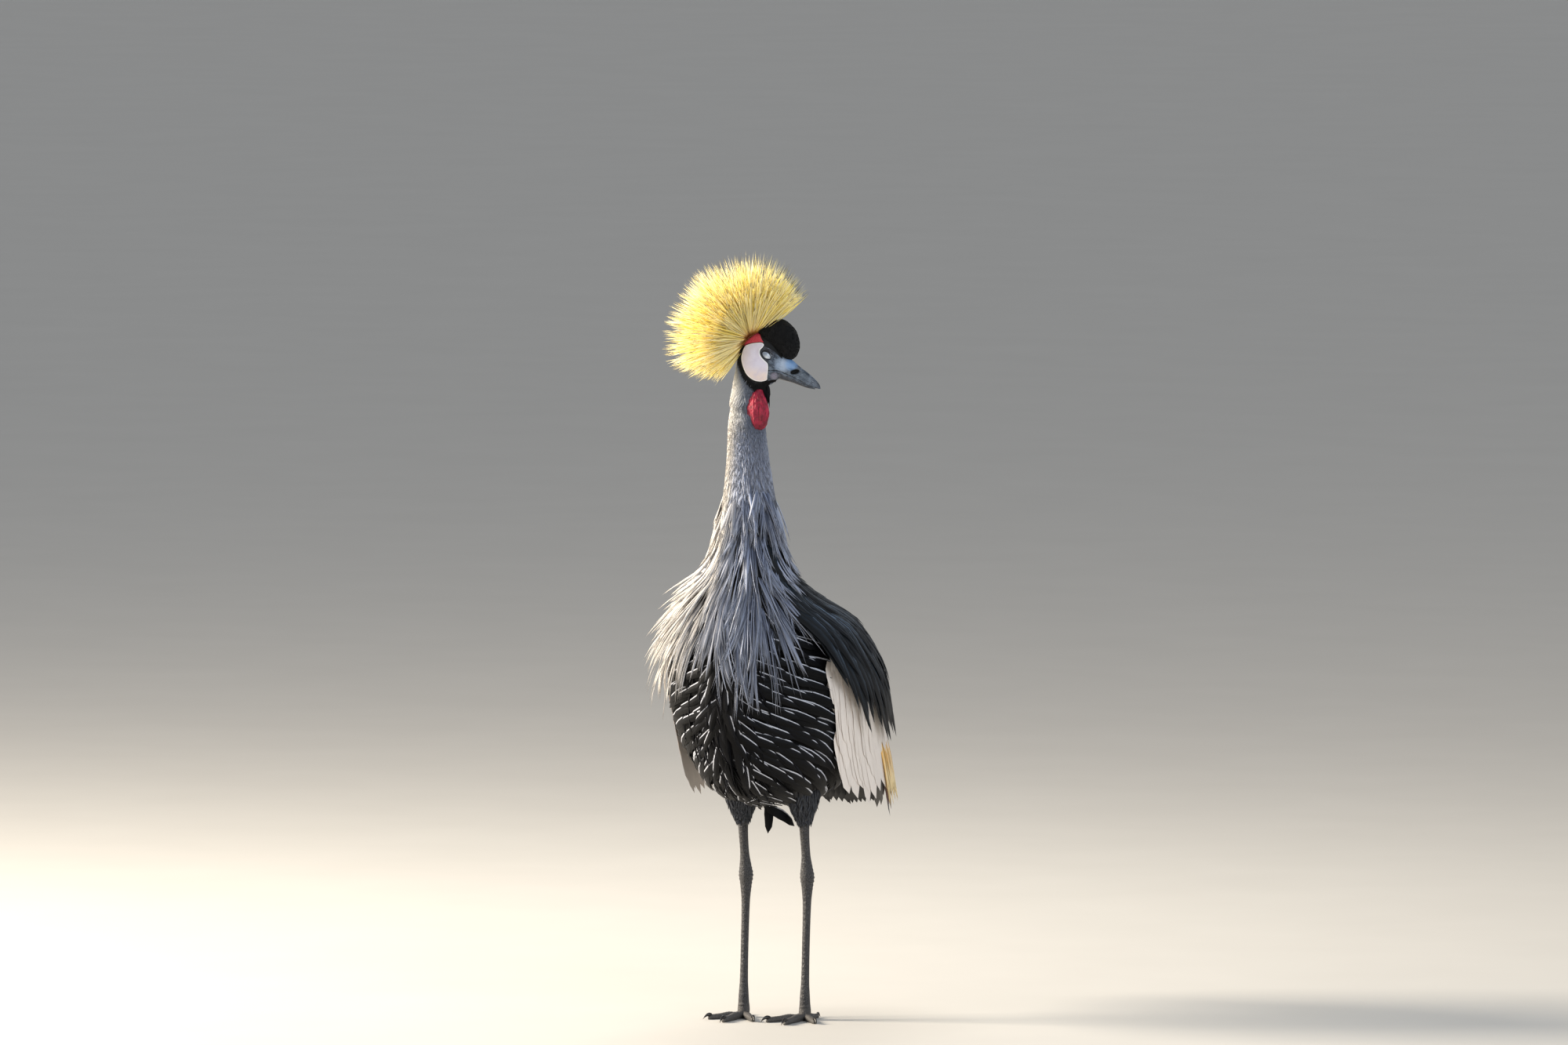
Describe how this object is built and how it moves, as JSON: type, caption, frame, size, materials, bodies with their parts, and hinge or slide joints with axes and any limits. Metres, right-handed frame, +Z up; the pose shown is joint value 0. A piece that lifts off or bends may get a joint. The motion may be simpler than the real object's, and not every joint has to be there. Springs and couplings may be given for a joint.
{
  "type": "grey crowned crane figure",
  "caption": "Life-size standing grey crowned crane with a bristle crest, head turned to its left and wings folded.",
  "frame": {"origin": "middle of the footprint's bounding box, on the floor", "axes": "+Z up, the breast faces -Y, the bird's left is +X, and the bill points to its left"},
  "size_m": [0.3206, 0.5448, 1.1206],
  "materials": {
    "head": "bare white cheek skin and fine black velvet feathering",
    "forehead": "dense black velvet plumage",
    "crest": "stiff straw-gold bristles, darker at their fine tips",
    "bill_upper": "smooth blue-grey horn",
    "bill_lower": "smooth blue-grey horn",
    "eye_right": "moist pearly third eyelid",
    "eye_left": "moist pearly third eyelid",
    "wattle": "crimson bare skin in folds",
    "neck_upper": "short pale grey feathers",
    "neck_lower": "long narrow pale grey plumes",
    "torso": "slate black lanceolate feathers with pale edges",
    "mantle": "dark slate scapular feathers",
    "wing_left": "white coverts, straw plumes, chestnut and black quills",
    "wing_right": "white coverts, straw plumes, chestnut and black quills",
    "tail": "black tail quills",
    "thigh_left": "short slate feathers",
    "thigh_right": "short slate feathers",
    "leg_left": "black scaled skin",
    "leg_right": "black scaled skin",
    "foot_left": "black scaled skin and horn claws",
    "foot_right": "black scaled skin and horn claws"
  },
  "bodies": {
    "root": {"head": "head", "forehead": "forehead", "crest": "crest", "bill_upper": "bill_upper", "bill_lower": "bill_lower", "eye_right": "eye_right", "eye_left": "eye_left", "wattle": "wattle", "neck_upper": "neck_upper", "neck_lower": "neck_lower", "torso": "torso", "mantle": "mantle", "wing_left": "wing_left", "wing_right": "wing_right", "tail": "tail", "thigh_left": "thigh_left", "thigh_right": "thigh_right", "leg_left": "leg_left", "leg_right": "leg_right", "foot_left": "foot_left", "foot_right": "foot_right"}
  },
  "joints": []
}
